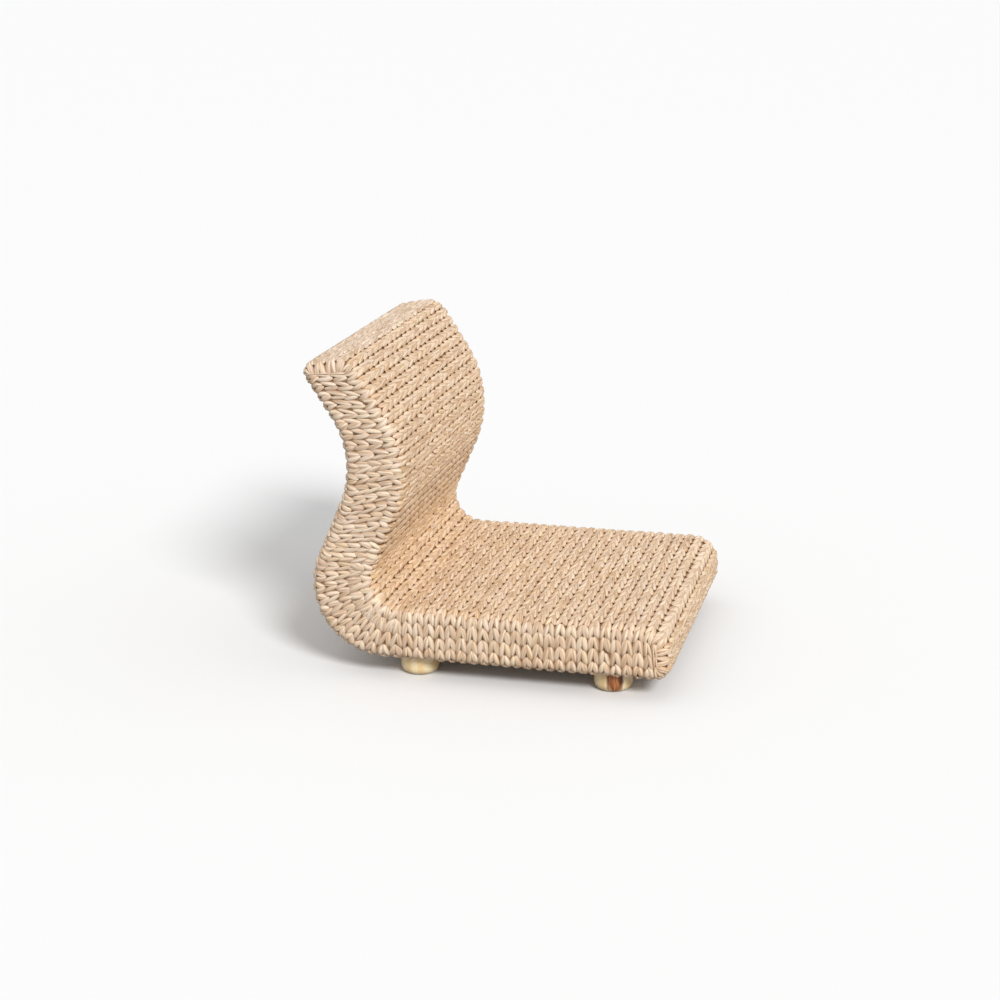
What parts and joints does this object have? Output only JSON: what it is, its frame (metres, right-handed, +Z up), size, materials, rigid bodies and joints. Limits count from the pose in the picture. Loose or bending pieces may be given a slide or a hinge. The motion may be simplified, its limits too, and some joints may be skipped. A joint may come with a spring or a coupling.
{
  "type": "floor chair",
  "caption": "Legless floor chair with an S-shaped seat and back woven over in straw, on low turned wooden feet.",
  "frame": {"origin": "on the floor under the middle of the chair's width and depth", "axes": "+Z up, the sitter faces -Y, +X is the sitter's left"},
  "size_m": [0.42, 0.461, 0.407],
  "materials": {
    "straw": "dry plaited straw, matt",
    "pine": "turned pine, clear oiled",
    "plywood": "sawn plywood, unfinished",
    "timber": "planed softwood, unfinished",
    "steel": "zinc plated steel"
  },
  "bodies": {
    "root": {"back_slat_1": "timber", "back_slat_2": "timber", "back_slat_3": "timber", "back_slat_4": "timber", "back_slat_5": "timber", "belly_batten": "timber", "foot_front_left": "pine", "foot_front_right": "pine", "foot_rail_front": "timber", "foot_rail_rear": "timber", "foot_rear_left": "pine", "foot_rear_right": "pine", "hanger_bolts": "steel", "heel_rail": "timber", "nose_rail": "timber", "rail_screws": "steel", "rear_batten_high": "timber", "rear_batten_low": "timber", "seat_slat_1": "timber", "seat_slat_2": "timber", "seat_slat_3": "timber", "seat_slat_4": "timber", "seat_slat_5": "timber", "seat_slat_6": "timber", "side_board_left": "plywood", "side_board_right": "plywood", "slat_screws": "steel", "tee_nuts": "steel", "top_rail": "timber", "woven_cover": "straw"}
  },
  "joints": []
}
